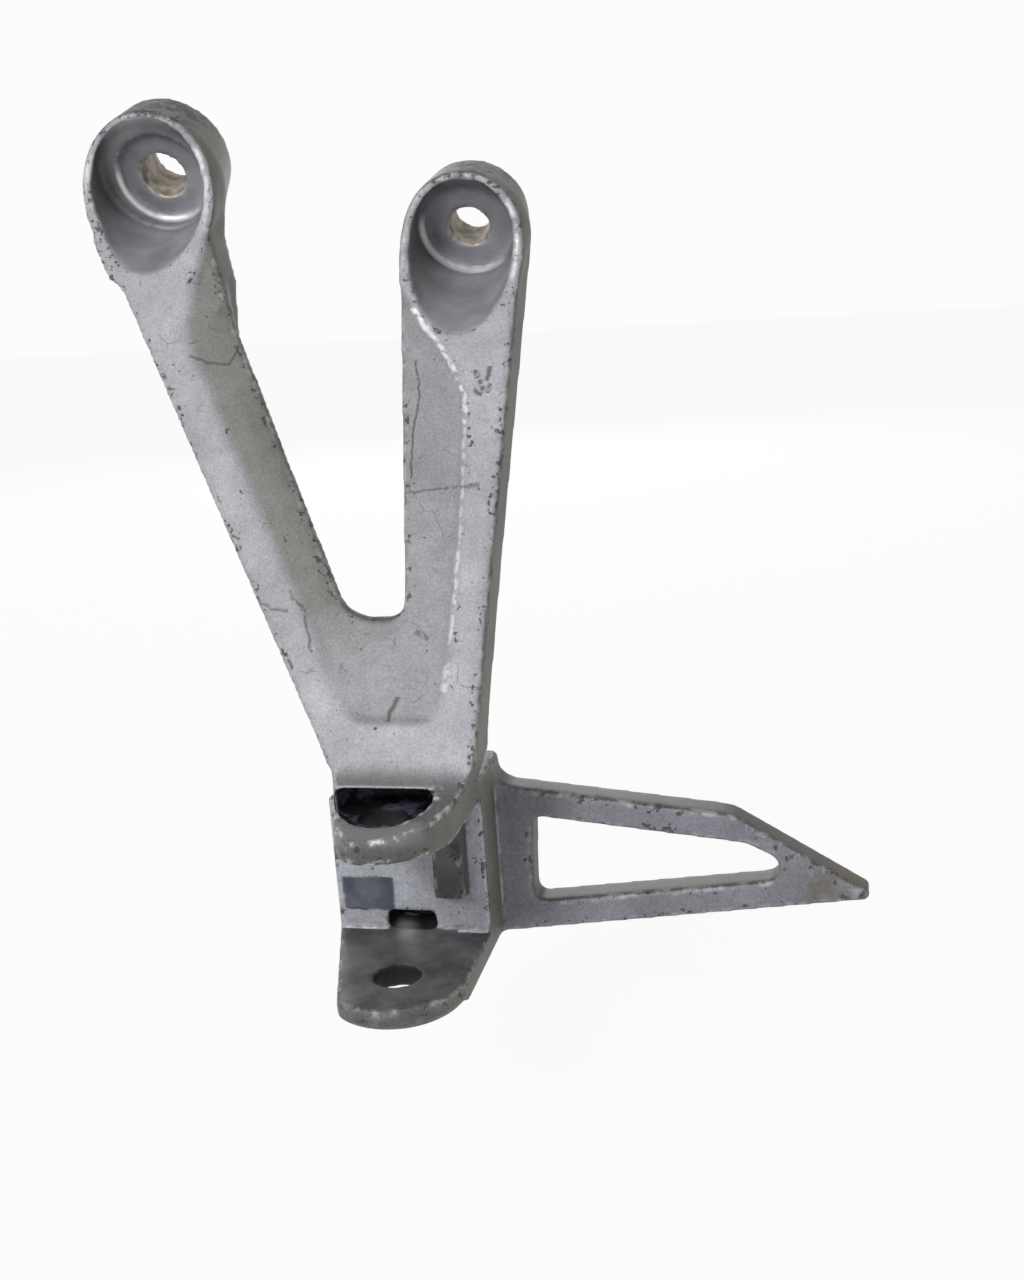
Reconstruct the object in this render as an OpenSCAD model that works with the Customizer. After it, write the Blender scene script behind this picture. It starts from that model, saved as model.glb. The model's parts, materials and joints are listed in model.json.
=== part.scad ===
// Footrest hanger: one aluminium casting. Two pocketed bosses bolt to the frame rail,
// two arms lean outwards from them, and a clevis at the bottom holds the folding peg.
// X runs along the hanger, Y goes in towards the motorcycle and Z follows the peg pin.
// The origin is on the pin axis, on the top face of the lower ear.

/* [Clevis] */
// Diameter of the pin bore
pin_d = 10.2; // [6:0.1:13]
// Radius of the ears round the pin
ear_r = 16; // [13:0.5:19]
// Clear height between the two ears
ear_gap = 32; // [26:0.5:36]
// Thickness of the lower ear
lower_ear_t = 5.5; // [4:0.5:9]
// Thickness of the upper ear at its lip
upper_ear_t = 5.5; // [4:0.5:8]
// Slope of the upper ear's top, from its lip towards the arms
ear_slope = 20; // [10:1:28]
// From the pin axis to the clevis wall
wall_reach = 21.8; // [18:0.1:26]
// Thickness of the clevis wall
wall_t = 6.5; // [4:0.5:9]
// How far the clevis wall runs to the left of the pin
clevis_left = 20.3; // [18:0.1:24]
// How much less far the upper ear runs to the left than the wall
ear_inset = 3.2; // [1:0.1:4]
// Slanting edge under the lower ear
ear_chamfer = 2; // [1:0.1:2.5]

/* [Clip pocket, stop and slot] */
// Radius of the clip pocket in the upper ear
clip_pocket_r = 11; // [8:0.5:13]
// How far the clip pocket is set to the right of the pin
clip_pocket_x = 1.5; // [0:0.1:3]
// Height of the clip pocket
clip_pocket_h = 6.3; // [4:0.1:8]
// Width of the peg stop under the upper ear
stop_w = 7; // [4:0.5:9]
// How far the stop stands out from the wall
stop_reach = 5; // [3:0.5:8]
// How far the stop hangs below the upper ear
stop_h = 22; // [14:0.5:24]
// Where the stop's middle lies, to the right of the pin
stop_x = 8; // [6:0.5:10]
// Width of the slot that takes the tab of the peg's plate
slot_w = 11; // [7:0.5:14]
// Height of the slot
slot_h = 4.6; // [4.4:0.1:7]
// Where the slot's middle lies, to the left of the pin
slot_x = 2.6; // [0:0.1:5]

/* [Arms] */
// How far the front face leans back from the pin axis
lean = 24; // [20:1:27]
// Depth of the front face behind the pin axis, 50 mm up
face_set = 3.5; // [1:0.5:6]
// Radius of the bend from the front face to the upper ear
bend_r = 18; // [10:1:24]
// Depth of the side walls, front to back
arm_depth = 12; // [9:0.5:15]
// Thickness of the skin in front of the hollow back
skin_t = 5; // [3.5:0.5:7]
// Thickness of the side walls
rim_t = 4; // [3:0.5:5]
// How far the side walls stand in from the gap between the arms
gap_edge = 3.5; // [3:0.5:5]
// From the front face to the back of the edge of that gap
gap_edge_t = 5.4; // [4.8:0.1:6.5]
// How steeply the left arm's recess slants back towards the gap
recess_slant = 13; // [4:1:15]
// How steeply that slant runs out at its lower end
recess_ramp = 12; // [8:1:20]
// Thickness of the cross ribs
rib_t = 3.5; // [2.5:0.5:5]
// Height of the bottom of the gap between the arms
crotch_z = 75.6; // [70:0.1:84]
// Width of the right arm at the bottom of the gap
right_arm_w = 19; // [16:0.5:21]
// From the pin's axis left to the gap's lower left corner
gap_left = 9.9; // [8:0.1:12]
// How far the gap's left side leans over, at the left boss
gap_lean = 29.9; // [26:0.1:33]
// Radius of the left corner at the bottom of the gap
crotch_r = 8; // [4:0.5:9]
// Depth of the recess in the front face
recess_t = 1.2; // [0.6:0.1:2]

/* [Bosses] */
// How far the bolts rise on their way to the frame
bolt_pitch = 29; // [26:1:32]
// Thickness of metal between the right bolt seat and its mounting pad
right_pad_t = 9; // [7:0.5:11]
// Thickness of metal between the left bolt seat and its mounting pad
left_pad_t = 11.5; // [9:0.5:13]
// Wall round the pockets
boss_wall = 2.6; // [2:0.1:3.5]
// How much a boss narrows towards its pad, on the radius
boss_taper = 2.2; // [0.5:0.1:2.6]
// Diameter of the machined bolt seats
seat_d = 21; // [18:0.5:22]
// How deep the seats are cut into the pocket floors
seat_t = 1.3; // [0.5:0.1:2.5]
// Bolt bore of the right boss
right_bore_d = 9; // [7:0.1:10.5]
// Right bolt seat along X
right_x = 13.1; // [11:0.1:15]
// Right bolt seat along Y
right_y = 58.4; // [56:0.1:60]
// Right bolt seat along Z
right_z = 155.4; // [150:0.1:160]
// Radius of the right pocket
right_pocket_r = 11.7; // [11:0.1:12.5]
// Height from which the face of the right boss stands upright
right_face_z = 154.5; // [150:0.5:157]
// Bolt bore of the left boss
left_bore_d = 10.5; // [8:0.1:12]
// Left bolt seat along X
left_x = -60.1; // [-63:0.1:-57]
// Left bolt seat along Y
left_y = 60.5; // [58:0.1:63]
// Left bolt seat along Z
left_z = 171.6; // [167:0.1:175]
// Radius of the left pocket
left_pocket_r = 13.8; // [13:0.1:14.5]
// Height from which the face of the left boss stands upright
left_face_z = 161; // [156:0.5:164]
// How far the left pocket is set to the left of its bore
left_shift = 1.2; // [0:0.1:2]
// How far the pockets are set above their bores
pocket_lift = 0.9; // [0:0.1:1]
// How far the bosses are set below their bores
boss_drop = 0.3; // [0:0.1:0.6]

/* [Wing] */
// From the pin axis to the wing's tip
wing_tip = 100.4; // [94:0.1:110]
// Height of the tip
tip_z = 6.5; // [4:0.5:9]
// Height of the wing's top edge at the clevis
wing_top = 31.6; // [29:0.1:33]
// Thickness of the wing
wing_t = 8; // [6:0.5:10]
// From the clevis wall back to the wing's front face
wing_set = 11.2; // [8:0.1:13]
// Width of the bars round the window
bar_w = 6.8; // [5:0.1:8.5]
// Width of the wing between the clevis and the window
root_w = 8.5; // [6:0.5:12]
// Radius where the wing's top edge runs up into the clevis
root_fillet = 6; // [3:0.5:7]

/* [Hidden] */
$fn = 64;
corner_steps = 8;
span = 400;
overlap = 0.4;

// Front face of the arms: depth at a height
face_z0 = 50;
function face_y(z) = face_set + (z - face_z0) * tan(lean);

// Levels and depths that several features share
lip_z = ear_gap + upper_ear_t;
top_z = left_z + 20;
wing_y = wall_reach + wing_set;
back_y = wing_y + wing_t;
back_z = wing_top + root_fillet;
shoulder_back = face_y(face_z0) + arm_depth + 1;
crotch_x = 3.2;
foot_z = face_z0 - 3;
foot_left = -12.2;
foot_right = 20;
neck_z = crotch_z + 8;
neck_x = crotch_x + right_arm_w;

// Edges of the two arms and of the left recess, each as two points in the X-Z plane
left_outer = [[foot_left - 6.5, face_z0 + 8.6], [left_x - left_shift - left_pocket_r - boss_wall, left_z - 7]];
left_inner = [[-gap_left, crotch_z], [-gap_left - gap_lean, left_z - 35.6]];
right_inner = [[crotch_x, neck_z], [right_x - right_pocket_r - boss_wall + 0.5, right_z - 14]];
right_outer = [[neck_x, neck_z], [right_x + right_pocket_r + boss_wall - 0.6, right_z - 6]];

left_ridge = [[foot_left + 1.2, 60.5], [left_x + 8.1, left_z - 34.6]];

// Where an edge passes a height
function edge_x(edge, z) =
    edge[0][0] + (z - edge[0][1]) * (edge[1][0] - edge[0][0]) / (edge[1][1] - edge[0][1]);
// A wall's thickness measured along X, on an edge that slopes
function across(edge, t) = t * norm(edge[1] - edge[0]) / abs(edge[1][1] - edge[0][1]);

// The corner p1 = [x, y, radius] of an outline, rounded between its neighbours
function turn(p0, p1, p2) =
    let (
        corner = [p1[0], p1[1]],
        a = [p0[0], p0[1]] - corner,
        b = [p2[0], p2[1]] - corner,
        ua = a / norm(a),
        ub = b / norm(b),
        half = acos(ua * ub) / 2,
        centre = corner + (ua + ub) / norm(ua + ub) * p1[2] / sin(half),
        start = corner + ua * p1[2] / tan(half) - centre,
        sweep = sign(ua[0] * ub[1] - ua[1] * ub[0]) * (2 * half - 180)
    )
    p1[2] == 0 ? [corner] : [
        for (i = [0:corner_steps])
            let (t = sweep * i / corner_steps)
            centre + [start[0] * cos(t) - start[1] * sin(t), start[0] * sin(t) + start[1] * cos(t)]
    ];

// An outline of [x, y, radius] corners as plain points
function rounded(corners) =
    let (n = len(corners))
    [for (i = [0:n - 1]) each turn(corners[(i + n - 1) % n], corners[i], corners[(i + 1) % n])];

// Prisms with their outline in the X-Z plane, the Y-Z plane and the X-Y plane
module along_y(corners) rotate([90, 0, 0]) linear_extrude(span, center = true) polygon(rounded(corners));
module along_x(corners) rotate([90, 0, 90]) linear_extrude(span, center = true) polygon(rounded(corners));
module along_z(corners, z, h) translate([0, 0, z]) linear_extrude(h) polygon(rounded(corners));

// Frames at the bolt seats: local Z runs along the bolt, out of the pocket's mouth
module at_right_seat() translate([right_x, right_y, right_z]) rotate([90 + bolt_pitch, 0, 0]) children();
module at_left_seat() translate([left_x, left_y, left_z]) rotate([90 + bolt_pitch, 0, 0]) children();

// Everything behind the front face of the arms, moved back by t
module behind_face(t) {
    along_x([
        [face_y(-top_z) + t, -top_z, 0],
        [face_y(top_z) + t, top_z, 0],
        [span, top_z, 0],
        [span, -top_z, 0]
    ]);
}

// Side view: front face, bend, two ears with the wall between them, back
module side_profile() {
    ramp = tan(ear_slope);
    bend_y = (face_set + (lip_z + ear_r * ramp - face_z0) * tan(lean)) / (1 - ramp * tan(lean));
    along_x([
        [face_y(top_z), top_z, 0],
        [bend_y, lip_z + (bend_y + ear_r) * ramp, bend_r],
        [-ear_r, lip_z, 1],
        [-ear_r, ear_gap, 0.8],
        [wall_reach, ear_gap, 1.5],
        [wall_reach, 0, 0.8],
        [-ear_r, 0, 0.8],
        [-ear_r, -lower_ear_t, 1],
        [back_y, -lower_ear_t, 3],
        [back_y, back_z, 3],
        [shoulder_back, back_z, 7],
        [shoulder_back, face_z0 + 1 / tan(lean), 15],
        [face_y(top_z) + arm_depth, top_z, 0]
    ]);
}

// Front view of the clevis and the shoulder above it
module clevis_outline() {
    along_y([
        [ear_r - 0.2, -2 * lower_ear_t, 0],
        [ear_r - 0.2, lip_z - 1, 10],
        [foot_right, foot_z + overlap, 0],
        [foot_left, foot_z + overlap, 0],
        [-clevis_left + ear_inset, face_z0 - 6, 5],
        [-clevis_left + ear_inset, ear_gap, 1],
        [-clevis_left, ear_gap, 0],
        [-clevis_left, -2 * lower_ear_t, 0]
    ]);
}

// Flare of an ear towards the clevis wall, set in from the left
module flare(inset, z0, z1) {
    along_z([
        [2 * ear_r, back_y + 1, 0],
        [2 * ear_r, -ear_r - 1, 0],
        [inset - ear_r * 0.53, -ear_r - 1, 9],
        [inset - clevis_left, wall_reach, 0],
        [inset - clevis_left, back_y + 1, 0]
    ], z0, z1 - z0);
}

// Plan view of the clevis: round the pin on the right, flared to the wall on the left
module clevis_plan() {
    intersection() {
        union() {
            flare(0, -lower_ear_t - 1, ear_gap);
            flare(ear_inset, ear_gap - 2, face_z0 + 1);
        }
        union() {
            rotate_extrude()
                polygon([
                    [0, -lower_ear_t],
                    [ear_r - ear_chamfer, -lower_ear_t],
                    [ear_r, ear_chamfer - lower_ear_t],
                    [ear_r, lip_z],
                    [foot_right + 2, face_z0 + 2],
                    [0, face_z0 + 2]
                ]);
            translate([-2 * ear_r, 0, -2 * lower_ear_t]) cube([4 * ear_r, span, span]);
        }
    }
}

// Front view of the two arms above the shoulder
module arms_outline() {
    along_y([
        [foot_right, foot_z, 0],
        [neck_x, neck_z, 40],
        [right_outer[1][0], right_outer[1][1], 10],
        [right_x + right_pocket_r, right_z + 5, 5],
        [right_x - right_pocket_r, right_z + 5, 5],
        [right_inner[1][0], right_inner[1][1], 10],
        [crotch_x, crotch_z, 3],
        [left_inner[0][0], crotch_z, crotch_r],
        [left_inner[1][0], left_inner[1][1], 15],
        [left_x + left_pocket_r - 0.6, left_z - 15, 10],
        [left_x + left_pocket_r - 2, left_z + 2, 5],
        [left_x - left_pocket_r - left_shift, left_z + 2, 4],
        [left_outer[1][0], left_outer[1][1], 4],
        [left_outer[0][0], left_outer[0][1], 20],
        [foot_left, foot_z, 0]
    ]);
}

// Barrel of a boss, narrower towards its pad and upright at the front above a height
module barrel(upright_z) {
    intersection() {
        along_x([
            [face_y(-top_z), -top_z, 0],
            [face_y(upright_z), upright_z, 12],
            [face_y(upright_z), span, 0],
            [span, span, 0],
            [span, -top_z, 0]
        ]);
        children(0);
    }
}

// Outline of a boss turned about its bolt's direction
module boss_turned(pocket_r, shift, pad_t) {
    full_r = pocket_r + boss_wall;
    translate([-shift, -boss_drop, 0])
        rotate_extrude()
            polygon([
                [0, -pad_t],
                [full_r - boss_taper, -pad_t],
                [full_r, seat_t],
                [full_r, span / 4],
                [0, span / 4]
            ]);
}

// Pocket, machined seat, bolt bore and the clear space behind the mounting pad
module boss_cuts(pocket_r, bore_d, shift, pad_t) {
    translate([-shift, pocket_lift, seat_t]) cylinder(h = 80, r = pocket_r);
    cylinder(h = 80, d = seat_d);
    cylinder(h = 3 * pad_t, d = bore_d, center = true);
    translate([-shift, pocket_lift, -pad_t - 30]) cylinder(h = 30, r = pocket_r + 3 * boss_wall);
}

// A cell of an arm's hollow back between two heights, its right wall set in by t
module arm_cell(left, right, t, z0, z1) {
    along_y([
        [edge_x(left, z0) + across(left, rim_t), z0, 1.5],
        [edge_x(right, z0) - across(right, rim_t + t), z0, 1.5],
        [edge_x(right, z1) - across(right, rim_t + t), z1, 1.5],
        [edge_x(left, z1) + across(left, rim_t), z1, 1.5]
    ]);
}

// The space behind the thin edge of the gap between the arms
module gap_relief() {
    low = crotch_z - gap_edge;
    high = left_z - 40;
    along_y([
        [crotch_x - 0.5, low, 2],
        [edge_x(left_inner, low) - across(left_inner, gap_edge), low, crotch_r],
        [edge_x(left_inner, high) - across(left_inner, gap_edge), high, 12],
        [left_x + left_pocket_r + 2, high + 20, 0],
        [left_x + left_pocket_r + 8, high + 20, 0],
        [crotch_x - 0.5, crotch_z + 12, 0]
    ]);
}

// The hollow back of both arms, open to the rear
module arm_hollows() {
    right_low = crotch_z + 6;
    right_pitch = (right_z - 27 - right_low) / 2;
    left_low = crotch_z + 2;
    joint_z = crotch_z - gap_edge - rim_t;
    left_pitch = (left_z - 35 - left_low) / 2;
    intersection() {
        behind_face(skin_t);
        union() {
            for (i = [0:1]) {
                right_cell = right_low + i * right_pitch;
                left_cell = left_low + i * left_pitch;
                arm_cell(right_inner, right_outer, 0, right_cell, right_cell + right_pitch - rib_t);
                arm_cell(left_outer, left_inner, gap_edge, left_cell, left_cell + left_pitch - rib_t);
            }
            along_y([
                [-17, face_z0 + 4, 3],
                [foot_right + 1 - rim_t, face_z0 + 4, 3],
                [neck_x - rim_t, joint_z, 3],
                [edge_x(left_outer, joint_z) + across(left_outer, rim_t), joint_z, 3]
            ]);
        }
    }
    intersection() {
        behind_face(gap_edge_t);
        gap_relief();
    }
}

// The hollows behind the clip pocket and behind the clevis wall
module clevis_hollows() {
    middle = (ear_r - clevis_left) / 2;
    cell_w = (ear_r + clevis_left - 2 * rim_t - rib_t) / 2;
    for (side = [-1, 1])
        translate([middle + side * (cell_w + rib_t) / 2, 0, 0]) {
            rotate([-90, 0, 0]) translate([0, 0, wall_reach + wall_t]) linear_extrude(span)
                polygon(rounded([
                    [-cell_w / 2, -rim_t / 2, 2],
                    [cell_w / 2, -rim_t / 2, 2],
                    [cell_w / 2, rim_t - ear_gap, 2],
                    [-cell_w / 2, rim_t - ear_gap, 2]
                ]));
            rotate([-90, 0, 0]) translate([0, 0, clip_pocket_r + wall_t]) linear_extrude(span)
                polygon(rounded([
                    [-cell_w / 2, -ear_gap - rib_t / 2, 2],
                    [cell_w / 2, -ear_gap - rib_t / 2, 2],
                    [cell_w / 2, -face_z0, 2],
                    [-cell_w / 2, -face_z0, 2]
                ]));
        }
}

// The shallow recess that runs down both arms, edged by a ridge on the right arm
module face_recess() {
    difference() {
        along_y([
            [right_x - 21, right_z - 3, 0],
            [right_x - 7.7, right_z - 19.3, 8],
            [right_x + 2.7, right_z - 33.4, 12],
            [crotch_x + 12.2, crotch_z + 20, 20],
            [crotch_x + 10.6, crotch_z - 10, 4],
            [crotch_x + 8.3, face_z0 + 5.5, 3],
            [foot_left + 5.7, face_z0 + 5.5, 5],
            [left_ridge[0][0], left_ridge[0][1], 5],
            [left_ridge[1][0], left_ridge[1][1], 15],
            [left_x + 12.8, left_z - 13.6, 0],
            [left_x + 26, left_z - 11.6, 0],
            [crotch_x - 7, crotch_z + 1, 0]
        ]);
        behind_face(recess_t);
    }
}

// The left arm's recess slants back from its ridge, and runs out at the lower end
module slanted_recess() {
    rise = (left_ridge[1][1] - left_ridge[0][1]) / cos(lean);
    run = left_ridge[0][0] - left_ridge[1][0];
    length = norm([rise, run]);
    width = 20;
    translate([left_ridge[0][0], face_y(left_ridge[0][1]), left_ridge[0][1]])
        rotate([-lean, 0, 0])
            rotate([0, -atan2(run, rise), 0])
                intersection() {
                    rotate([0, 0, recess_slant]) translate([0, -span, 0]) cube([width, span, length]);
                    translate([0, recess_t, width / 3]) rotate([-recess_ramp, 0, 0])
                        translate([-width, -span, -width]) cube([3 * width, span, span]);
                }
}

// Front view of the wing: straight lower edge, upper edge that drops towards the tip
wing_low = [[ear_r, -5.2], [wing_tip, tip_z - 1]];
wing_high = [[ear_r, wing_top], [70, wing_top - 6.2]];

module wing() {
    low_x = ear_r + root_w;
    far_x = wing_tip - 19.5;
    translate([0, wing_y + wing_t / 2, 0])
        rotate([90, 0, 0])
            linear_extrude(wing_t, center = true)
                difference() {
                    polygon(rounded([
                        [ear_r - 6, wing_low[0][1], 0],
                        [wing_low[0][0] + 2, wing_low[0][1], 4],
                        [wing_low[1][0] - 1, wing_low[1][1], 1],
                        [wing_tip, tip_z + 0.5, 0.7],
                        [wing_high[1][0], wing_high[1][1], 10],
                        [wing_high[0][0] - 1, wing_high[0][1], root_fillet],
                        [ear_r - 1, back_z, 0],
                        [ear_r - 6, back_z, 0]
                    ]));
                    polygon(rounded([
                        [low_x - 0.8, edge_y(wing_low, low_x) + bar_w, 2],
                        [far_x, edge_y(wing_low, far_x) + bar_w, 3],
                        [far_x - 1, edge_y(wing_low, far_x) + bar_w + 5, 3],
                        [far_x - 8, edge_y(wing_high, far_x - 8) - bar_w, 6],
                        [low_x, edge_y(wing_high, low_x) - bar_w, 2]
                    ]));
                }
}

// Height of a sloping edge at a place along X
function edge_y(edge, x) =
    edge[0][1] + (x - edge[0][0]) * (edge[1][1] - edge[0][1]) / (edge[1][0] - edge[0][0]);

// Clevis, shoulder, arms and bosses before anything is cut
module blank() {
    intersection() {
        side_profile();
        union() {
            intersection() {
                clevis_outline();
                clevis_plan();
            }
            intersection() {
                arms_outline();
                translate([-span / 2, -span / 2, foot_z]) cube(span);
            }
        }
    }
    barrel(right_face_z) at_right_seat() boss_turned(right_pocket_r, 0, right_pad_t);
    barrel(left_face_z) at_left_seat() boss_turned(left_pocket_r, left_shift, left_pad_t);
    wing();
}

// The stop that the peg folds down against
module peg_stop() {
    translate([stop_x - stop_w / 2, wall_reach - stop_reach, ear_gap - stop_h])
        cube([stop_w, stop_reach + overlap, stop_h + overlap]);
}

module hanger() {
    color("silver") {
        difference() {
            blank();
            at_right_seat() boss_cuts(right_pocket_r, right_bore_d, 0, right_pad_t);
            at_left_seat() boss_cuts(left_pocket_r, left_bore_d, left_shift, left_pad_t);
            face_recess();
            slanted_recess();
            arm_hollows();
            clevis_hollows();
            translate([0, 0, -2 * lower_ear_t]) cylinder(h = 2 * lower_ear_t + lip_z, d = pin_d);
            translate([clip_pocket_x, 0, lip_z - 0.5]) cylinder(h = clip_pocket_h, r = clip_pocket_r);
            translate([-slot_x - slot_w / 2, wall_reach - 1, 0]) cube([slot_w, wall_t + 2, slot_h]);
        }
        peg_stop();
    }
}

hanger();
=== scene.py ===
import bpy
import json
import math
from mathutils import Matrix, Vector


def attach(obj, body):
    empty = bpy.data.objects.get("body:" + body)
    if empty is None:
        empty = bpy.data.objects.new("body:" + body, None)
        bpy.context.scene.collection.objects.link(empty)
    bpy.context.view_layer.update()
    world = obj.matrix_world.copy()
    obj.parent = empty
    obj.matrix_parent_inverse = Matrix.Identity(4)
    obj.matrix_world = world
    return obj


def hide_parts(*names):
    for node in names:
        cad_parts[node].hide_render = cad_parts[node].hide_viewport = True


# The dressed footrest hanger: one casting, painted silver grey, worn at its edges
# and bare where it was machined
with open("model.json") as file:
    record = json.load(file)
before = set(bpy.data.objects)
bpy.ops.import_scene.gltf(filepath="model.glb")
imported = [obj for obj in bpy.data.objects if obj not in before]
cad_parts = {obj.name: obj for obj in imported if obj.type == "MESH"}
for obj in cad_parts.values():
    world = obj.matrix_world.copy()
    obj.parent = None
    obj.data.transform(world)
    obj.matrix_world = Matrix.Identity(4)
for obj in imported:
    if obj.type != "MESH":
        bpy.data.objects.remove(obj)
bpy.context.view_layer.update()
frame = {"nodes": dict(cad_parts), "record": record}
hangerNode = frame["nodes"]["hanger"]
print("frame loaded")

mounts = {m["name"]: m for m in frame["record"]["mounts"]}
pinRadius = mounts["pin_bore"]["dims"]["r_mm"] / 1000
lowerEar = 0.0055      # thickness of the lower ear, whose top lies at height 0
upperFloor = mounts["pin_bore"]["dims"]["length_mm"] / 1000 - lowerEar  # floor of the clip pocket
clipPocket = {"centre": (0.0015, 0, 0), "radius": 0.0112}
clevisWall = 0.0215    # how far behind the pin the clevis wall stands
boreReach = 0.03       # more than a bolt bore's length
machinedEdge = 0.0002  # how far beyond its edge a machined surface is still found

# How the pocket of each boss is set about its bolt's axis, and where (across, up) its rim is worn bright
bossFacts = {
    "right": {
        "mount": "right_bolt", "pocketRadius": 0.0117, "seatRadius": 0.0105,
        "aside": 0.0, "lift": 0.0009, "rimWear": [(0.95, 0.3)],
    },
    "left": {
        "mount": "left_bolt", "pocketRadius": 0.0138, "seatRadius": 0.0105,
        "aside": 0.0012, "lift": 0.0009, "rimWear": [(0.95, 0.2), (-0.75, 0.66)],
    },
}


# A boss's axis, the direction up its seat, and the middles of its seat and of its pocket
def bossPlace(facts):
    mount = mounts[facts["mount"]]
    axis = Vector(mount["axis"]).normalized()
    up = Vector((0, axis.z, -axis.y))
    up = up if up.z > 0 else -up
    seat = Vector(mount["pos_m"]) + axis * mount["dims"]["length_mm"] / 2000
    centre = seat - Vector((facts["aside"], 0, 0)) + up * facts["lift"]
    return {"axis": axis, "up": up, "seat": seat, "centre": centre}


bossPlaces = {side: bossPlace(facts) for side, facts in bossFacts.items()}


# Where the recess in the arms' face ends, in millimetres across and up
recessLines = {
    "soft": [(-51.6, 142), (-51.4, 136), (-11, 60.5), (-6.5, 55.5), (11.5, 55.5)],
    "crisp": [(11.5, 55.5), (13.8, 66), (15.4, 96), (15.8, 118), (14.5, 123.7), (5.4, 136.1)],
}
recessEnds = {"lowest": 0.047, "shallowest": -0.0005, "deepest": 0.004}  # where the step round it lies
faceLean = {"degrees": 24, "depth": 0.0035, "height": 0.050}  # front face of the arms


def deselectAll():
    if bpy.context.object and bpy.context.object.mode != "OBJECT":
        bpy.ops.object.mode_set(mode="OBJECT")
    bpy.ops.object.select_all(action="DESELECT")


def pickOnly(piece):
    deselectAll()
    piece.select_set(True)
    bpy.context.view_layer.objects.active = piece


def applyModifier(piece, name, kind, **settings):
    pickOnly(piece)
    modifier = piece.modifiers.new(name, kind)
    for key, value in settings.items():
        setattr(modifier, key, value)
    bpy.ops.object.modifier_apply(modifier=modifier.name)


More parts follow.
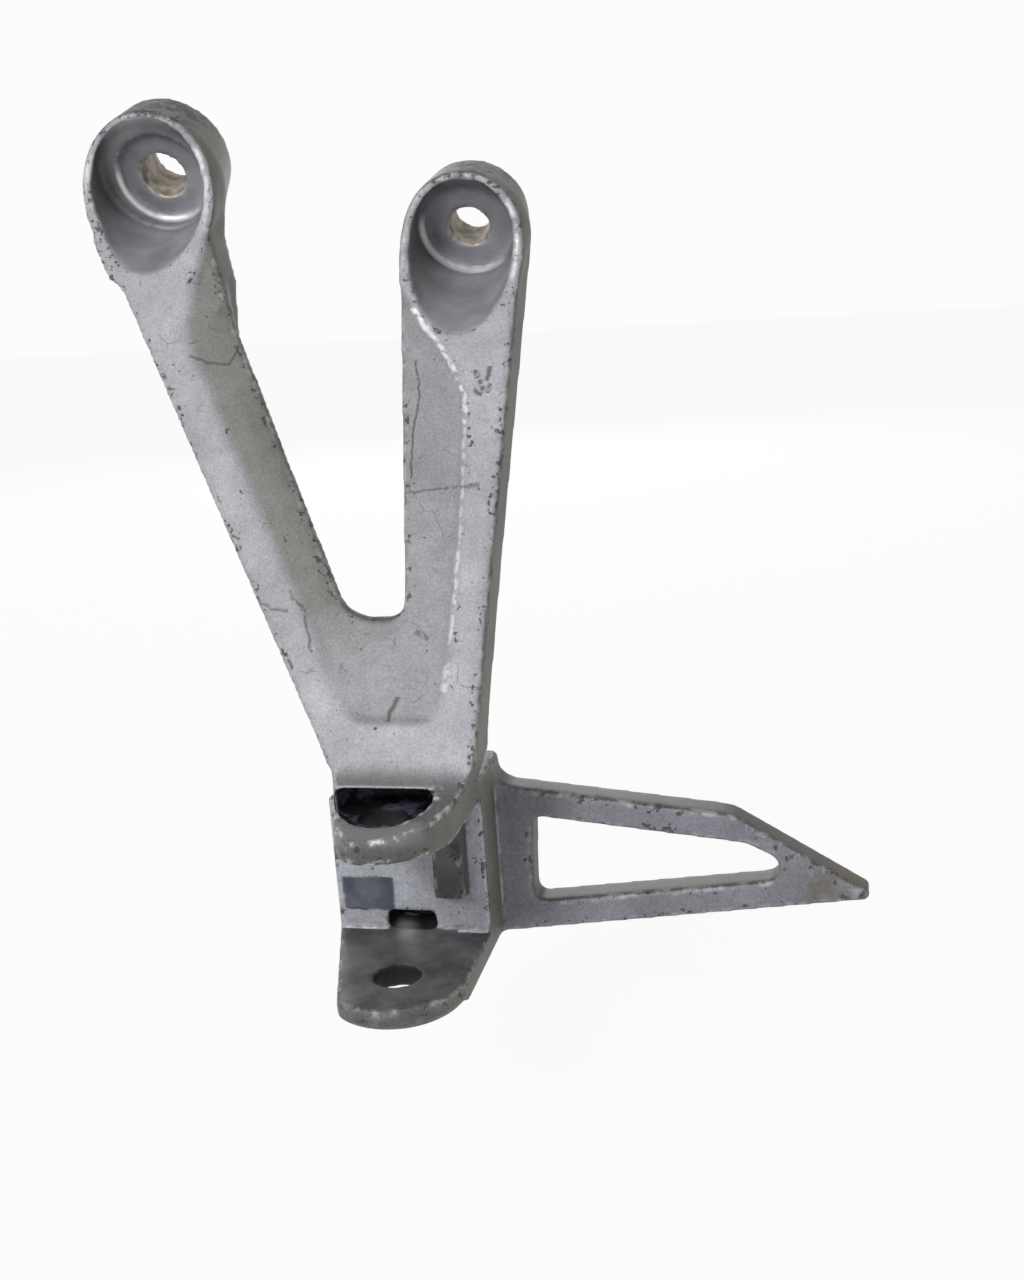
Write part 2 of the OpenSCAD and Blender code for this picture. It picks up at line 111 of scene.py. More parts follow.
# Sizes in metres, colours linear; the marks are read from the photograph
castingLook = {
    "voxel": 0.00078,        # size of the remesh
    "soften": 0.5,           # strength of one smoothing step
    "softenSteps": 10,       # how round the cast edges get
    "machinedSteps": 4,      # the same for machined edges
    "recessSteps": 34,       # the same for the recess in the arms
    "softReach": 0.0062,     # how far from the recess's soft lines the smoothing reaches
    "crispReach": 0.0045,    # the same for its crisp lines
    "crispShare": 0.22,      # how much its crisp lines are smoothed
    "reachFade": 0.0025,
    "wearSteps": 10,         # how wide a worn edge is
    "wearGain": 4,           # how soon an edge counts as worn
    "front": (0.395, 0.40, 0.425, 1),         # silver paint on the arms
    "recess": (0.20, 0.203, 0.187, 1),       # darker in the left arm's recess: painted shade
    # the rest of the recess, less dark: painted shade
    "recessRight": (0.290, 0.295, 0.308, 1),
    "wall": (0.40, 0.408, 0.45, 1),          # the clevis wall, mostly in shade
    "lip": (0.115, 0.117, 0.117, 1),         # the rims of both ears
    # the stop under the upper ear: its own dark grey with the ear's painted shadow
    "stop": (0.085, 0.087, 0.085, 1),
    "wing": (0.225, 0.230, 0.258, 1),
    "side": (0.190, 0.196, 0.172, 1),        # olive-grey sides, darker than the front: painted shade
    "back": (0.265, 0.268, 0.262, 1),
    "top": (0.098, 0.100, 0.097, 1),         # darker where it looks up, low down: painted shade
    # darker where it looks up near the bosses: painted shade
    "bossUpwardShade": (0.175, 0.177, 0.163, 1),
    "pocket": (0.245, 0.25, 0.262, 1),       # machined
    "seat": (0.24, 0.24, 0.26, 1),
    "earTop": (0.125, 0.127, 0.130, 1),
    "bore": (0.40, 0.36, 0.30, 1),
    # bare metal of worn edges, also the colour of the painted highlights
    "bareAndGlint": (0.74, 0.74, 0.75, 1),
    # dark of chips and scratches, also the painted shade in inner corners
    "chipAndShade": (0.030, 0.031, 0.030, 1),
    # grime, and painted shade inside the slot, the clip pocket and the pin bore
    "grimeAndShade": (0.008, 0.008, 0.010, 1),
    # oil, its bluish tint a painted reflection
    "oilAndReflection": (0.13, 0.13, 0.19, 1),
    "rust": (0.15, 0.115, 0.075, 1),
    "stain": (0.066, 0.071, 0.095, 1),
    "mark": (0.045, 0.028, 0.020, 1),
    "ledge": (0.23, 0.24, 0.232, 1),         # flat strip in front of the clip pocket
    "stainEdge": (0.03, 0.032, 0.05, 1),
    "split": 0.0495,         # height where the finish of the arms takes over from that of the clevis
    "grain": 1900.0,         # how fine the sparkle of the paint is
    "grainDepth": 0.55,
    "patchScale": 55.0,      # how fine its patches are
    "chipScale": 620.0,      # how fine its chips are
    "chipDark": 0.82,
    "cornerDirtShadeDark": 0.55,        # dirt and painted shade in corners
    "hairScale": 105.0,      # how fine the net of thin dark lines is
    "hairDark": 0.45,
    "ringScale": 9000.0,     # how close the turning marks on the seats are
    "metal": 0.12,           # of the paint
    "rough": 0.56,
    "specular": 0.35,
    "bumpDistance": 0.00006,
    "bumpStrength": 0.6,
    "wander": 0.0011,        # how far drawn lines stray
    "tip": {"centre": (0.0925, 0.035, 0.0105), "radius": 0.0085},    # rusty end of the wing
    "fleck": {"centre": (0.0126, -0.0024, 0.040), "radius": 0.0014},  # bright spot beside the clip pocket
    # parts of the clevis and the wing that have their own colour or wear, in millimetres
    "zones": {
        "wing": {"x": (16.2, 120), "y": (29, 60), "z": (-9, 35)},
        "stop": {"x": (4.2, 11.8), "y": (10.0, 21.4), "z": (4.5, 36.0)},
        "stain": {"x": (-18.6, -6.6), "y": (20.5, 23.5), "z": (4.8, 12.8)},
        "ledge": {"x": (-14, 12), "y": (-15.2, -9.6), "z": (36, 40)},
        "slot": {"x": (-9, 12), "y": (22.1, 34.0), "z": (-3, 5.2)},
        "lip": {"x": (-23, 20), "y": (-18, 8), "z": (25, 41)},
    },
    # each scratch: points along it seen from the front (across, up) and its width in millimetres, strength
    "scratches": [
        [[(3.7, 127.7), (4.5, 123.8), (4.8, 119.6), (3.7, 113.1), (3.6, 103.7)], 0.45, 0.75],
        [[(2.0, 100.5), (8.0, 101.2), (14.0, 101.6)], 0.45, 0.6],
        [[(15.2, 101.8), (19.0, 101.9)], 1.1, 0.6],
        [[(17.6, 125.4), (18.0, 123.9)], 0.9, 0.8],
        [[(20.7, 125.8), (20.2, 123.4)], 0.9, 0.8],
        [[(18.7, 123.2), (19.4, 121.4)], 0.9, 0.8],
        [[(20.9, 122.4), (20.2, 120.6)], 0.8, 0.8],
        [[(17.3, 121.3), (19.0, 120.5)], 1.0, 0.8],
        [[(-40.3, 88.2), (-37.6, 86.2)], 0.8, 0.7],
        [[(-33.5, 80.8), (-31.6, 77.6)], 1.0, 0.75],
        [[(-29.6, 74.6), (-27.4, 70.8)], 0.9, 0.7],
        [[(-31.0, 80.3), (-26.2, 78.0), (-22.8, 77.6)], 0.5, 0.55],
        [[(-22.8, 68.8), (-20.8, 66.4)], 0.8, 0.7],
        [[(-13.9, 97.8), (-14.6, 90.6)], 0.5, 0.5],
        [[(6.2, 73.0), (8.6, 71.6)], 1.0, 0.6],
        [[(-49.6, 131.2), (-44.8, 129.5), (-40.4, 128.9), (-37.6, 133.7)], 0.55, 0.65],
        [[(-36.9, 130.7), (-36.2, 130.7)], 0.9, 0.9],
        [[(-22.6, 81.5), (-19.2, 77.5), (-16.9, 69.4)], 0.6, 0.6],
    ],
    # bright lines along a ridge or a corner: painted highlights
    "glints": [
        [[(2.6, 138.8), (9.8, 130.0), (13.2, 124.6), (15.2, 119.8), (15.5, 115.0)], 1.0, 0.95],
        [[(15.5, 115.0), (15.4, 105.0), (15.1, 91.0)], 0.7, 0.6],
        [[(15.0, 91.0), (14.2, 75.0), (13.4, 66.0)], 0.8, 0.75],
        [[(13.4, 66.0), (12.8, 61.5)], 1.4, 0.7],
    ],
    # bright lines along edges of the clevis wall: painted highlights
    "clevisGlints": [
        [[(-19.5, 0.1), (-3.2, 0.1)], 0.8, 0.9],
        [[(8.4, 0.1), (16.0, 0.1)], 0.8, 0.9],
        [[(15.9, 2.0), (15.9, 28.0)], 0.8, 0.45],
        [[(16.1, 3.0), (16.1, 31.0)], 0.7, 0.4],
    ],
    "brownMark": [[(2.5, 60.0), (1.9, 58.4), (0.9, 57.2), (0.8, 55.7)], 0.9, 0.8],
}


def copyCasting():
    pickOnly(hangerNode)
    bpy.ops.object.duplicate()
    piece = bpy.context.object
    piece.name = "hanger_casting"
    piece.data.name = "hanger_casting"
    bpy.ops.object.mode_set(mode="EDIT")
    bpy.ops.mesh.select_all(action="SELECT")
    bpy.ops.mesh.remove_doubles(threshold=0.00001)
    bpy.ops.object.mode_set(mode="OBJECT")
    return piece


# 1 on machined surfaces, 0 on cast ones
def machinedWeight(point):
    for side, facts in bossFacts.items():
        axis = bossPlaces[side]["axis"]
        centre = bossPlaces[side]["centre"]
        along = (point - centre).dot(axis)
        away = (point - centre - axis * along).length
        if along > -boreReach and away < facts["pocketRadius"] + machinedEdge:
            return 1.0
    if abs(point.z) < machinedEdge and point.y < clevisWall:
        return 1.0
    if math.hypot(point.x, point.y) < pinRadius + machinedEdge and point.z < upperFloor + 0.001:
        return 1.0
    return 0.0


# How far a point lies from a line drawn on the front, in metres
def awayFromLine(point, line):
    best = 1.0
    for (ax, az), (bx, bz) in zip(line, line[1:]):
        dx, dz = bx - ax, bz - az
        t = ((point.x * 1000 - ax) * dx + (point.z * 1000 - az) * dz) / (dx * dx + dz * dz)
        t = min(max(t, 0.0), 1.0)
        best = min(best, math.hypot(point.x * 1000 - ax - t * dx, point.z * 1000 - az - t * dz) / 1000)
    return best


def nearLine(point, line, reach, share):
    return min(max((reach - awayFromLine(point, line)) / castingLook["reachFade"], 0.0), share)


# How strongly the step round the recess is smoothed: much on the left and below, a little on the right
def recessWeight(vertex):
    point = vertex.co
    lean = math.radians(faceLean["degrees"])
    depth = (point.y - faceLean["depth"]) * math.cos(lean) - (point.z - faceLean["height"]) * math.sin(lean)
    if vertex.normal.y > -0.4 or point.z < recessEnds["lowest"]:
        return 0.0
    if not recessEnds["shallowest"] < depth < recessEnds["deepest"]:
        return 0.0
    soft = nearLine(point, recessLines["soft"], castingLook["softReach"], 1.0)
    crisp = nearLine(point, recessLines["crisp"], castingLook["crispReach"], castingLook["crispShare"])
    return max(soft, crisp)


def softenCasting(piece):
    weights = [machinedWeight(v.co) for v in piece.data.vertices]
    cast = piece.vertex_groups.new(name="cast")
    machined = piece.vertex_groups.new(name="machined")
    recess = piece.vertex_groups.new(name="recess")
    for vertex, weight in zip(piece.data.vertices, weights):
        cast.add([vertex.index], 1.0 - weight, "REPLACE")
        machined.add([vertex.index], weight, "REPLACE")
        share = recessWeight(vertex)
        if share > 0:
            recess.add([vertex.index], share, "REPLACE")
    applyModifier(piece, "softRecess", "SMOOTH", factor=castingLook["soften"],
                  iterations=castingLook["recessSteps"], vertex_group="recess")
    applyModifier(piece, "softCast", "SMOOTH", factor=castingLook["soften"],
                  iterations=castingLook["softenSteps"], vertex_group="cast")
    applyModifier(piece, "softMachined", "SMOOTH", factor=castingLook["soften"],
                  iterations=castingLook["machinedSteps"], vertex_group="machined")


# Stores how far each point stands out (edges) or lies in (corners) as an attribute
def markEdges(piece):
    mesh = piece.data
    before = [v.co.copy() for v in mesh.vertices]
    normals = [v.normal.copy() for v in mesh.vertices]
    pickOnly(piece)
    bpy.ops.object.duplicate()
    blurred = bpy.context.object
    applyModifier(blurred, "blur", "SMOOTH", factor=castingLook["soften"],
                  iterations=castingLook["wearSteps"])
    gain = castingLook["wearGain"] / castingLook["voxel"]
    edge = mesh.attributes.new("edgeOut", "FLOAT", "POINT")
    corner = mesh.attributes.new("cornerIn", "FLOAT", "POINT")
    for i, v in enumerate(blurred.data.vertices):
        out = (before[i] - v.co).dot(normals[i]) * gain
        edge.data[i].value = min(max(out, 0.0), 1.0)
        corner.data[i].value = min(max(-out, 0.0), 1.0)
    spare = blurred.data
    bpy.data.objects.remove(blurred)
    bpy.data.meshes.remove(spare)


def makeCasting():
    piece = copyCasting()
    applyModifier(piece, "remesh", "REMESH", mode="VOXEL", voxel_size=castingLook["voxel"])
    print("remeshed", len(piece.data.polygons))
    softenCasting(piece)
    pickOnly(piece)
    bpy.ops.object.shade_smooth()
    markEdges(piece)
    return piece


casting = makeCasting()
print("casting shaped")


def newGroup(name, inputs, outputs):
    group = bpy.data.node_groups.new(name, "ShaderNodeTree")
    for label, kind, value in inputs:
        socket = group.interface.new_socket(name=label, in_out="INPUT", socket_type=kind)
        if value is not None:
            socket.default_value = value
    for label, kind in outputs:
        group.interface.new_socket(name=label, in_out="OUTPUT", socket_type=kind)
    return group, group.nodes.new("NodeGroupInput"), group.nodes.new("NodeGroupOutput")


def plug(tree, value, socket):
    if isinstance(value, bpy.types.NodeSocket):
        tree.links.new(value, socket)
    elif value is not None:
        socket.default_value = value


def mathNode(tree, operation, a, b=None, c=None):
    node = tree.nodes.new("ShaderNodeMath")
    node.operation = operation
    for value, socket in zip((a, b, c), node.inputs):
        plug(tree, value, socket)
    return node.outputs[0]


def times(tree, *values):
    result = values[0]
    for value in values[1:]:
        result = mathNode(tree, "MULTIPLY", result, value)
    return result


def most(tree, values):
    result = values[0]
    for value in values[1:]:
        result = mathNode(tree, "MAXIMUM", result, value)
    return result


def vectorNode(tree, operation, a, b=None, scale=None):
    node = tree.nodes.new("ShaderNodeVectorMath")
    node.operation = operation
    plug(tree, a, node.inputs[0])
    plug(tree, b, node.inputs[1])
    if operation == "SCALE":
        plug(tree, scale, node.inputs["Scale"])
    return node.outputs["Value" if operation in ("LENGTH", "DOT_PRODUCT") else "Vector"]


# A smooth step from lowValue at low to highValue at high
def rampNode(tree, value, low, high, lowValue=0.0, highValue=1.0):
    node = tree.nodes.new("ShaderNodeMapRange")
    node.interpolation_type = "SMOOTHSTEP"
    for socket, entry in zip(node.inputs[:5], (value, low, high, lowValue, highValue)):
        plug(tree, entry, socket)
    return node.outputs[0]


def mixColour(tree, factor, a, b, blend="MIX"):
    node = tree.nodes.new("ShaderNodeMix")
    node.data_type = "RGBA"
    node.blend_type = blend
    node.clamp_factor = True
    plug(tree, factor, node.inputs[0])
    plug(tree, a, node.inputs[6])
    plug(tree, b, node.inputs[7])
    return node.outputs[2]


def noiseNode(tree, vector, scale, detail=3.0, roughness=0.55):
    node = tree.nodes.new("ShaderNodeTexNoise")
    plug(tree, vector, node.inputs["Vector"])
    plug(tree, scale, node.inputs["Scale"])
    plug(tree, detail, node.inputs["Detail"])
    plug(tree, roughness, node.inputs["Roughness"])
    return node.outputs["Fac"]


def noiseColour(tree, vector, scale):
    node = tree.nodes.new("ShaderNodeTexNoise")
    plug(tree, vector, node.inputs["Vector"])
    node.inputs["Scale"].default_value = scale
    node.inputs["Detail"].default_value = 2.0
    return node.outputs["Color"]


def attributeNode(tree, name):
    node = tree.nodes.new("ShaderNodeAttribute")
    node.attribute_name = name
    return node.outputs["Fac"]


def placeNode(tree):
    return tree.nodes.new("ShaderNodeTexCoord").outputs["Object"]


# A round zone about a slanting axis: its mask, how far along and how far from the axis a point lies
def buildRoundZone():
    group, given, made = newGroup(
        "roundZone",
        [("Place", "NodeSocketVector", None), ("Centre", "NodeSocketVector", None),
         ("Axis", "NodeSocketVector", None), ("Radius", "NodeSocketFloat", 0.01),
         ("Edge", "NodeSocketFloat", 0.0002), ("From", "NodeSocketFloat", 0.0),
         ("To", "NodeSocketFloat", 0.1)],
        [("Mask", "NodeSocketFloat"), ("Along", "NodeSocketFloat"), ("Away", "NodeSocketFloat")],
    )
    offset = vectorNode(group, "SUBTRACT", given.outputs["Place"], given.outputs["Centre"])
    along = vectorNode(group, "DOT_PRODUCT", offset, given.outputs["Axis"])
    onAxis = vectorNode(group, "SCALE", given.outputs["Axis"], scale=along)
    away = vectorNode(group, "LENGTH", vectorNode(group, "SUBTRACT", offset, onAxis))
    edge = given.outputs["Edge"]

    def fromTo(value, limit, before, after):
        low = mathNode(group, "SUBTRACT", given.outputs[limit], edge)
        high = mathNode(group, "ADD", given.outputs[limit], edge)
        return rampNode(group, value, low, high, before, after)

    inside = fromTo(away, "Radius", 1.0, 0.0)
    pastStart = fromTo(along, "From", 0.0, 1.0)
    beforeEnd = fromTo(along, "To", 1.0, 0.0)
    group.links.new(times(group, inside, pastStart, beforeEnd), made.inputs["Mask"])
    group.links.new(along, made.inputs["Along"])
    group.links.new(away, made.inputs["Away"])
    return group


# Fine sparkle and mottling of aluminium paint
def buildSparkle():
    group, given, made = newGroup(
        "sparkle",
        [("Place", "NodeSocketVector", None), ("Grain", "NodeSocketFloat", 2600.0),
         ("Depth", "NodeSocketFloat", 0.25)],
        [("Shade", "NodeSocketFloat"), ("Height", "NodeSocketFloat")],
    )
    fine = noiseNode(group, given.outputs["Place"], given.outputs["Grain"], 2.0, 0.6)
    coarse = noiseNode(group, given.outputs["Place"], 260.0, 4.0, 0.6)
    both = mathNode(group, "ADD", mathNode(group, "MULTIPLY", mathNode(group, "SUBTRACT", fine, 0.5), 1.6),
                    mathNode(group, "MULTIPLY", mathNode(group, "SUBTRACT", coarse, 0.5), 0.7))
    shade = mathNode(group, "MULTIPLY_ADD", both, given.outputs["Depth"], 1.0)
    group.links.new(shade, made.inputs["Shade"])
    group.links.new(mathNode(group, "ADD", fine, coarse), made.inputs["Height"])
    return group


# Wide soft patches of darker and lighter paint
def buildPatches():
    group, given, made = newGroup(
        "patches",
        [("Place", "NodeSocketVector", None), ("Scale", "NodeSocketFloat", 55.0)],
        [("Shade", "NodeSocketFloat")],
    )
    cloudy = noiseNode(group, given.outputs["Place"], given.outputs["Scale"], 5.0, 0.6)
    group.links.new(rampNode(group, cloudy, 0.28, 0.74, 0.84, 1.12), made.inputs["Shade"])
    return group


# Small chips that crowd in places and near edges
def buildChips():
    group, given, made = newGroup(
        "chips",
        [("Place", "NodeSocketVector", None), ("Edge", "NodeSocketFloat", 0.0),
         ("Scale", "NodeSocketFloat", 620.0)],
        [("Mask", "NodeSocketFloat")],
    )
    nearEdge = rampNode(group, given.outputs["Edge"], 0.02, 0.35)
    crowd = rampNode(group, noiseNode(group, given.outputs["Place"], 60.0, 3.0), 0.4, 0.65, 0.0, 0.06)
    limit = mathNode(group, "SUBTRACT", mathNode(group, "MULTIPLY_ADD", nearEdge, -0.115, 0.725), crowd)
    fine = noiseNode(group, given.outputs["Place"], given.outputs["Scale"], 3.0, 0.62)
    group.links.new(rampNode(group, fine, limit, mathNode(group, "ADD", limit, 0.035)), made.inputs["Mask"])
    return group


# Darkening that gathers in inner corners: dirt and painted shade
def buildCornerDirtShade():
    group, given, made = newGroup(
        "cornerDirtShade",
        [("Place", "NodeSocketVector", None), ("Corner", "NodeSocketFloat", 0.0),
         ("Strength", "NodeSocketFloat", 0.5)],
        [("Mask", "NodeSocketFloat")],
    )
    cloudy = rampNode(group, noiseNode(group, given.outputs["Place"], 260.0, 4.0), 0.32, 0.62)
    inCorner = rampNode(group, given.outputs["Corner"], 0.12, 0.75)
    group.links.new(times(group, inCorner, cloudy, given.outputs["Strength"]), made.inputs["Mask"])
    return group


# A broken net of thin lines
def buildHairs():
    group, given, made = newGroup(
        "hairs",
        [("Place", "NodeSocketVector", None), ("Scale", "NodeSocketFloat", 105.0),
         ("Strength", "NodeSocketFloat", 0.5)],
        [("Mask", "NodeSocketFloat")],
    )
    place = given.outputs["Place"]
    stray = vectorNode(group, "SCALE", noiseColour(group, place, 180.0), scale=0.004)
    net = group.nodes.new("ShaderNodeTexVoronoi")
    net.feature = "DISTANCE_TO_EDGE"
    plug(group, vectorNode(group, "ADD", place, stray), net.inputs["Vector"])
    plug(group, given.outputs["Scale"], net.inputs["Scale"])
    thin = rampNode(group, net.outputs["Distance"], 0.0, 0.022, 1.0, 0.0)
    broken = rampNode(group, noiseNode(group, place, 130.0, 2.0), 0.56, 0.64)
    group.links.new(times(group, thin, broken, given.outputs["Strength"]), made.inputs["Mask"])
    return group


# Edges rubbed down to bare metal here and there
def buildEdgeWear():
    group, given, made = newGroup(
        "edgeWear",
        [("Place", "NodeSocketVector", None), ("Edge", "NodeSocketFloat", 0.0),
         ("Strength", "NodeSocketFloat", 0.3)],
        [("Mask", "NodeSocketFloat")],
    )
    flecks = rampNode(group, noiseNode(group, given.outputs["Place"], 330.0, 4.0, 0.6), 0.46, 0.62)
    onEdge = rampNode(group, given.outputs["Edge"], 0.3, 0.75)
    group.links.new(times(group, onEdge, flecks, given.outputs["Strength"]), made.inputs["Mask"])
    return group


roundZone = buildRoundZone()
sparkle = buildSparkle()
paintPatches = buildPatches()
paintChips = buildChips()
cornerDirtShadeGroup = buildCornerDirtShade()
darkHairs = buildHairs()
edgeWear = buildEdgeWear()


def useGroup(tree, group, **values):
    node = tree.nodes.new("ShaderNodeGroup")
    node.node_tree = group
    for label, value in values.items():
        plug(tree, value, node.inputs[label])
    return node


# How far behind the arms' front face a point lies
def faceDepth(tree, place):
    lean = math.radians(faceLean["degrees"])
    normal = Vector((0, math.cos(lean), -math.sin(lean)))
    start = Vector((0, faceLean["depth"], faceLean["height"]))
    behind = vectorNode(tree, "DOT_PRODUCT", place, tuple(normal))
    return mathNode(tree, "SUBTRACT", behind, normal.dot(start))


# A grey of one shade, to multiply a colour by
def greyOf(tree, shade):
    grey = tree.nodes.new("ShaderNodeCombineColor")
    for socket in grey.inputs[:3]:
        tree.links.new(shade, socket)
    return grey.outputs[0]


def shaded(tree, colour, shade):
    return mixColour(tree, 1.0, colour, greyOf(tree, shade), "MULTIPLY")


# 1 inside a block with soft borders, each range of the zone given as (low, high) in millimetres
def blockMask(tree, axes, zone, soft):
    masks = []
    for label, (low, high) in zone.items():
        value = axes[label]
        masks.append(rampNode(tree, value, (low - soft) / 1000, (low + soft) / 1000))
        masks.append(rampNode(tree, value, (high - soft) / 1000, (high + soft) / 1000, 1.0, 0.0))
    return times(tree, *masks)


def armsPaint(tree, place, axes, facing):
    look = castingLook
    depth = faceDepth(tree, place)
    # the recess in the arms' face is painted darker, most on its left: painted shade
    sunk = times(tree, rampNode(tree, depth, 0.0002, 0.0011), rampNode(tree, axes["z"], 0.053, 0.058), facing)
    onLeft = rampNode(tree, axes["x"], -0.016, 0.004, 1.0, 0.0)
    leftRecessShade = mathNode(tree, "MULTIPLY", onLeft, rampNode(tree, axes["z"], 0.064, 0.082))
    front = mixColour(tree, sunk, look["front"], mixColour(tree, leftRecessShade, look["recessRight"], look["recess"]))
    # faces that look up are painted darker than the front: painted shade
    top = mixColour(tree, rampNode(tree, axes["z"], 0.10, 0.14), look["top"], look["bossUpwardShade"])
    # surfaces turned from the camera take the darker side colour: painted shade
    return mixColour(tree, facing, look["side"], front), top


def clevisPaint(tree, axes, facing):
    look = castingLook
    zones = look["zones"]
    low = mixColour(tree, rampNode(tree, axes["y"], 0.0185, 0.0205), look["lip"], look["wall"])
    front = mixColour(tree, rampNode(tree, axes["z"], 0.034, 0.0485), low, look["front"])
    front = mixColour(tree, blockMask(tree, axes, zones["wing"], 0.4), front, look["wing"])
    # surfaces turned from the camera take the darker side colour: painted shade
    paint = mixColour(tree, facing, look["side"], front)
    # the stop is painted dark, partly as the shadow of the upper ear
    return mixColour(tree, blockMask(tree, axes, zones["stop"], 0.3), paint, look["stop"]), look["top"]


def paintColour(tree, place, axes, facing, backwards, upwards, grain, onArms):
    look = castingLook
    paint, top = armsPaint(tree, place, axes, facing) if onArms else clevisPaint(tree, axes, facing)
    paint = mixColour(tree, backwards, paint, look["back"])
    # faces that look up take the darker upward colour: painted shade
    paint = mixColour(tree, upwards, paint, top)
    patches = useGroup(tree, paintPatches, Place=place, Scale=look["patchScale"])
    lighterBelow = rampNode(tree, axes["z"], 0.05, 0.105, 1.13, 1.0)
    return shaded(tree, paint, times(tree, grain.outputs["Shade"], patches.outputs["Shade"], lighterBelow))


def addDirtAndShade(tree, place, colour, facing, edgeOut):
    look = castingLook
    chips = useGroup(tree, paintChips, Place=place, Edge=edgeOut, Scale=look["chipScale"]).outputs["Mask"]
    colour = mixColour(tree, mathNode(tree, "MULTIPLY", chips, look["chipDark"]), colour, look["chipAndShade"])
    # inner corners darkened: dirt and painted shade
    cornerDirtShade = useGroup(tree, cornerDirtShadeGroup, Place=place, Corner=attributeNode(tree, "cornerIn"),
                    Strength=look["cornerDirtShadeDark"])
    colour = mixColour(tree, cornerDirtShade.outputs["Mask"], colour, look["chipAndShade"])
    hairs = useGroup(tree, darkHairs, Place=place, Scale=look["hairScale"], Strength=look["hairDark"])
    onFront = mathNode(tree, "MULTIPLY", hairs.outputs["Mask"], facing)
    return mixColour(tree, onFront, colour, look["chipAndShade"]), chips


# A zone about a boss's axis, round the middle of its seat or of its pocket
def bossZone(tree, place, side, middle, radius, edge, low, high):
    spot = bossPlaces[side]
    return useGroup(tree, roundZone, Place=place, Centre=tuple(spot[middle]), Axis=tuple(spot["axis"]),
                    Radius=radius, Edge=edge, From=low, To=high)


# How far a point lies from a boss's seat or centre in one direction (across, up), as a share of the radius
def towards(tree, place, side, middle, direction, radius):
    across, high = direction
    spot = bossPlaces[side]
    way = (Vector((across, 0, 0)) + spot["up"] * high) / radius
    offset = vectorNode(tree, "SUBTRACT", place, tuple(spot[middle]))
    return vectorNode(tree, "DOT_PRODUCT", offset, tuple(way))


# Machined metal of one pocket: a streaky wall and a seat with turning marks, both painted lighter at the
# lower right and darker at the upper left: painted light and shade
def pocketColour(tree, place, side, zone, about):
    look = castingLook
    radius = bossFacts[side]["pocketRadius"]
    streaksAndLight = rampNode(tree, noiseNode(tree, place, 120.0, 5.0), 0.25, 0.75, 0.78, 1.2)
    lowerRight = towards(tree, place, side, "seat", (0.6, -0.8), bossFacts[side]["seatRadius"])
    streaksAndLight = mathNode(tree, "MULTIPLY", streaksAndLight, rampNode(tree, lowerRight, -0.9, 1.0, 0.72, 1.38))
    # the wall is painted darker just above the floor: painted shade that dims the highlight on the fillet
    filletShade = times(tree, rampNode(tree, zone.outputs["Away"], radius - 0.0028, radius - 0.0012),
                 rampNode(tree, zone.outputs["Along"], 0.0018, 0.0042, 1.0, 0.0), 0.3)
    wallShade = mathNode(tree, "MULTIPLY", streaksAndLight, mathNode(tree, "SUBTRACT", 1.0, filletShade))
    wall = shaded(tree, look["pocket"], wallShade)
    rings = mathNode(tree, "SINE", mathNode(tree, "MULTIPLY", about.outputs["Away"], look["ringScale"]))
    flat = shaded(tree, look["seat"], mathNode(tree, "MULTIPLY_ADD", rings, 0.05, streaksAndLight))
    return mixColour(tree, rampNode(tree, zone.outputs["Along"], 0.0005, 0.0009, 1.0, 0.0), wall, flat)


def dressBosses(tree, place, colour, edgeOut):
    machined = []
    bright = []
    for side, facts in bossFacts.items():
        pocketRadius = facts["pocketRadius"]
        seatRadius = facts["seatRadius"]
        boreRadius = mounts[facts["mount"]]["dims"]["r_mm"] / 1000
        zone = bossZone(tree, place, side, "centre", pocketRadius + 0.00022, 0.00012, -0.0004, 0.08)
        about = bossZone(tree, place, side, "seat", seatRadius + 0.0006, 0.0004, 0.0006, 0.0019)
        bore = bossZone(tree, place, side, "seat", boreRadius + 0.0004, 0.00015, -boreReach, 0.0005)
        rim = bossZone(tree, place, side, "centre", pocketRadius + 0.0016, 0.0006, 0.004, 0.08)
        colour = mixColour(tree, zone.outputs["Mask"], colour, pocketColour(tree, place, side, zone, about))
        mottled = rampNode(tree, noiseNode(tree, place, 420.0, 4.0), 0.3, 0.7, 0.55, 1.35)
        colour = mixColour(tree, bore.outputs["Mask"], colour, shaded(tree, castingLook["bore"], mottled))
        machined += [zone.outputs["Mask"], bore.outputs["Mask"]]

        # the edge of the step round the seat is polished; its brightness, most on its lower left, is a
        # painted highlight
        lowerLeft = towards(tree, place, side, "seat", (-0.55, -0.83), seatRadius)
        bright.append(times(tree, about.outputs["Mask"],
                            rampNode(tree, about.outputs["Away"], seatRadius - 0.0007, seatRadius - 0.0003),
                            rampNode(tree, lowerLeft, 0.05, 0.55), 0.85))

        # the pocket's rim is worn bright on the sides that its facts name
        lobes = [rampNode(tree, towards(tree, place, side, "centre", direction, pocketRadius), 0.72, 1.0)
                 for direction in facts["rimWear"]]
        bright.append(times(tree, rim.outputs["Mask"], rampNode(tree, edgeOut, 0.12, 0.5), most(tree, lobes),
                            rampNode(tree, noiseNode(tree, place, 150.0, 4.0), 0.38, 0.54), 0.85))
    return colour, most(tree, machined), most(tree, bright)


# The tops of both rims are rubbed dark
def rubBossTops(tree, place, axes, colour):
    crowns = []
    for spot in bossPlaces.values():
        seat = spot["seat"]
        high = rampNode(tree, axes["z"], seat.z + 0.0075, seat.z + 0.0125)
        aside = mathNode(tree, "ABSOLUTE", mathNode(tree, "SUBTRACT", axes["x"], seat.x))
        crowns.append(mathNode(tree, "MULTIPLY", high, rampNode(tree, aside, 0.017, 0.022, 1.0, 0.0)))
    rough = rampNode(tree, noiseNode(tree, place, 420.0, 5.0, 0.7), 0.42, 0.56)
    return mixColour(tree, times(tree, most(tree, crowns), rough, 0.8), colour, castingLook["chipAndShade"])


